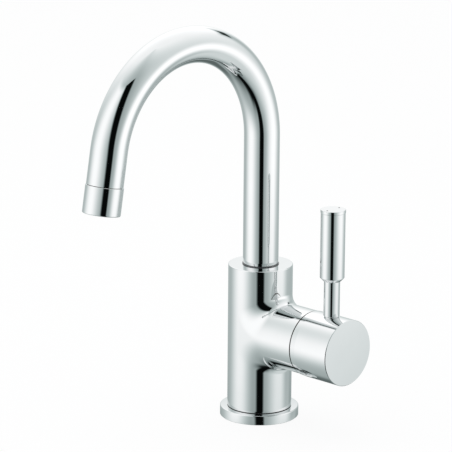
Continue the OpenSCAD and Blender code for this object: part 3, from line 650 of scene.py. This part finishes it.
def tent_paint(tree, place):
    """The cloth's brightness at a place on it."""
    centred = maths(tree, "SUBTRACT", place, (0, 0, tent_z), kind="ShaderNodeVectorMath")
    unit = maths(tree, "NORMALIZE", centred, kind="ShaderNodeVectorMath")

    def along_axis(source, axis):
        node = add(tree, "ShaderNodeVectorMath", [(0, source)], operation="DOT_PRODUCT")
        node.inputs[1].default_value = axis
        return node.outputs["Value"]

    def degrees(operation, *terms):
        return maths(tree, "MULTIPLY", maths(tree, operation, *terms), math.degrees(1))

    ahead, aside = along_axis(unit, to_camera), along_axis(unit, to_right)
    turn = degrees("ARCTAN2", aside, ahead)
    behind = degrees("ARCTAN2", aside, maths(tree, "MULTIPLY", ahead, -1.0))
    rise = degrees("ARCSINE", along_axis(unit, (0, 0, 1)))
    leant = maths(tree, "MULTIPLY_ADD", rise, lean, maths(tree, "SUBTRACT", turn, lean_start))
    level = panel(tree, wall, front_grey, (turn, front_left), (turn, front_right))
    level = panel(tree, level, right_grey, (turn, side_near), (turn, side_far), (rise, side_foot))
    level = panel(tree, level, left_white, (leant, left_far), (leant, left_near),
                  (rise, left_foot), (rise, left_head))
    level = panel(tree, level, right_white, (leant, right_near), (leant, right_far),
                  (rise, right_foot), (rise, right_head))
    level = panel(tree, level, base_grey, (rise, base_head))
    level = panel(tree, level, low_white, (leant, low_near), (leant, low_far),
                  (rise, low_foot), (rise, low_head))
    level = panel(tree, level, base_dark, (turn, dark_left), (turn, dark_right),
                  (rise, dark_head))
    # The roof comes down lower at the back, where it is lit
    sunk = maths(tree, "COSINE", maths(tree, "MULTIPLY", turn, math.radians(1)))
    height = maths(tree, "MULTIPLY_ADD", sunk, -roof_sink, maths(tree, "ADD", rise, roof_sink))
    roof = panel(tree, roof_white, roof_grey, (ahead, roof_back))
    level = panel(tree, level, roof, (height, roof_foot))
    level = panel(tree, level, pocket_grey, (turn, pocket_near), (turn, pocket_far),
                  (rise, pocket_foot), (rise, pocket_head))
    level = panel(tree, level, stand_dark, (turn, stand_near), (turn, stand_far),
                  (rise, stand_foot), (rise, stand_head))
    level = panel(tree, level, edge_dark, (behind, back_right), (behind, back_left),
                  (rise, back_foot), (rise, back_head))
    across, up = along_axis(centred, to_right), along_axis(centred, (0, 0, 1))
    left = maths(tree, "MULTIPLY_ADD", up, slot_left_lean, across)
    right = maths(tree, "MULTIPLY_ADD", up, slot_right_lean, across)
    end = maths(tree, "MULTIPLY_ADD", across, slot_end_lean, up)
    return panel(tree, level, slot_dark, (left, slot_left), (right, slot_right),
                 (end, slot_end), (ahead, slot_ahead))


tent_points = []
for i in range(tent_rows + 1):
    for j in range(tent_columns):
        fall, turn = math.pi * i / tent_rows, math.tau * j / tent_columns
        ahead = min(tent_r * math.sin(fall) * math.cos(turn), tent_front)
        tent_points.append(to_camera * ahead + to_right * tent_r * math.sin(fall) * math.sin(turn)
                           + Vector((0, 0, tent_z + tent_r * math.cos(fall))))
tent_faces = [(i * tent_columns + j, i * tent_columns + (j + 1) % tent_columns,
               (i + 1) * tent_columns + (j + 1) % tent_columns, (i + 1) * tent_columns + j)
              for i in range(tent_rows) for j in range(tent_columns)]
cloth = bpy.data.materials.new("tent_cloth")
cloth.use_nodes = True
tree = cloth.node_tree
tree.nodes.clear()
strength = tent_paint(tree, add(tree, "ShaderNodeTexCoord").outputs["Object"])
# The greys take the cool lean, the white is neutral
greyness = maths(tree, "MAXIMUM", maths(tree, "SUBTRACT", 1.0, strength), 0.0)
cool = maths(tree, "SCALE", cool_lean, kind="ShaderNodeVectorMath")
tree.links.new(greyness, cool.node.inputs["Scale"])
tint = maths(tree, "ADD", (1, 1, 1), cool, kind="ShaderNodeVectorMath")
colour = maths(tree, "SCALE", tint, kind="ShaderNodeVectorMath")
tree.links.new(strength, colour.node.inputs["Scale"])
light = add(tree, "ShaderNodeEmission", [("Color", colour)], Strength=tent_light)
add(tree, "ShaderNodeOutputMaterial", [("Surface", light.outputs[0])])
cloth.cycles.emission_sampling = "NONE"
tent_mesh = bpy.data.meshes.new("tent")
tent_mesh.from_pydata(tent_points, [], tent_faces)
tent_mesh.materials.append(cloth)
tent = bpy.data.objects.new("tent", tent_mesh)
bpy.context.scene.collection.objects.link(tent)
tent.visible_camera = tent.visible_diffuse = tent.visible_shadow = False
tent.visible_transmission = tent.visible_volume_scatter = False


# Floor, light and camera
# A pale floor keeps a faint shadow under one large soft lamp overhead, with white all round.
# The camera stands where the photograph was taken from, with a long lens.
floor_half, floor_grey, floor_rough, floor_glow = 6.0, 0.93, 0.9, 0.9
room_colour, room_strength = (0.9, 0.91, 0.92, 1), 0.95
lamp_size, lamp_place, lamp_power = 1.4, (-0.3, -0.2, 1.5), 5.0
view_distance, view_lens, view_sensor, view_end = 1.8, 233.67, 36, 50
view_shift_right, view_shift_up, view_height = -21.76 * mm, -27.8 * mm, 150 * mm


def seen_rays(tree):
    """One for what the camera sees, directly, mirrored or through glass."""
    rays = add(tree, "ShaderNodeLightPath").outputs
    return maths(tree, "MAXIMUM", rays["Is Camera Ray"],
                 maths(tree, "MAXIMUM", rays["Is Glossy Ray"], rays["Is Transmission Ray"]))


floor_finish = bpy.data.materials.new("pale_floor")
floor_finish.use_nodes = True
tree = floor_finish.node_tree
shader = next(n for n in tree.nodes if n.type == "BSDF_PRINCIPLED")
shader.inputs["Base Color"].default_value = (floor_grey, floor_grey, floor_grey, 1)
shader.inputs["Roughness"].default_value = floor_rough
white_glow = add(tree, "ShaderNodeEmission", Color=(1, 1, 1, 1), Strength=1.0)
share = maths(tree, "MULTIPLY", seen_rays(tree), floor_glow)
mixed = add(tree, "ShaderNodeMixShader", [(0, share), (1, shader.outputs[0]),
                                          (2, white_glow.outputs[0])])
tree.links.new(mixed.outputs[0], tree.nodes["Material Output"].inputs["Surface"])
floor_finish.cycles.emission_sampling = "NONE"
floor_mesh = bpy.data.meshes.new("floor")
floor_mesh.from_pydata([(x * floor_half, y * floor_half, 0) for x, y in
                        ((-1, -1), (1, -1), (1, 1), (-1, 1))], [], [(0, 1, 2, 3)])
floor_mesh.materials.append(floor_finish)
floor = bpy.data.objects.new("floor", floor_mesh)
bpy.context.scene.collection.objects.link(floor)
floor.visible_glossy = False

world = bpy.data.worlds.new("studio")
bpy.context.scene.world = world
world.use_nodes = True
tree = world.node_tree
tree.nodes.clear()
plain = add(tree, "ShaderNodeBackground", Color=room_colour, Strength=room_strength)
white = add(tree, "ShaderNodeBackground", Color=(1, 1, 1, 1), Strength=1.0)
mixed = add(tree, "ShaderNodeMixShader", [(0, seen_rays(tree)), (1, plain.outputs[0]),
                                          (2, white.outputs[0])])
add(tree, "ShaderNodeOutputWorld", [("Surface", mixed.outputs[0])])

lamp_data = bpy.data.lights.new("overhead", "AREA")
lamp_data.shape, lamp_data.size, lamp_data.energy = "DISK", lamp_size, lamp_power
lamp = bpy.data.objects.new("overhead", lamp_data)
lamp.location = lamp_place
lamp.visible_glossy = False
bpy.context.scene.collection.objects.link(lamp)

back = Vector((to_camera.x * math.cos(view_tilt), to_camera.y * math.cos(view_tilt),
               math.sin(view_tilt)))
up = back.cross(to_right)
level_right = to_right * math.cos(view_roll) + up * math.sin(view_roll)
level_up = up * math.cos(view_roll) - to_right * math.sin(view_roll)
target = (Vector((0, 0, view_height)) + level_right * view_shift_right
          + level_up * view_shift_up)
camera_data = bpy.data.cameras.new("camera")
camera_data.lens, camera_data.sensor_width = view_lens, view_sensor
camera_data.clip_end = view_end
camera = bpy.data.objects.new("camera", camera_data)
bpy.context.scene.collection.objects.link(camera)
aim = Matrix((level_right, level_up, back)).transposed().to_4x4()
camera.matrix_world = Matrix.Translation(target + back * view_distance) @ aim
bpy.context.scene.camera = camera
bpy.context.scene.view_settings.view_transform = "Standard"
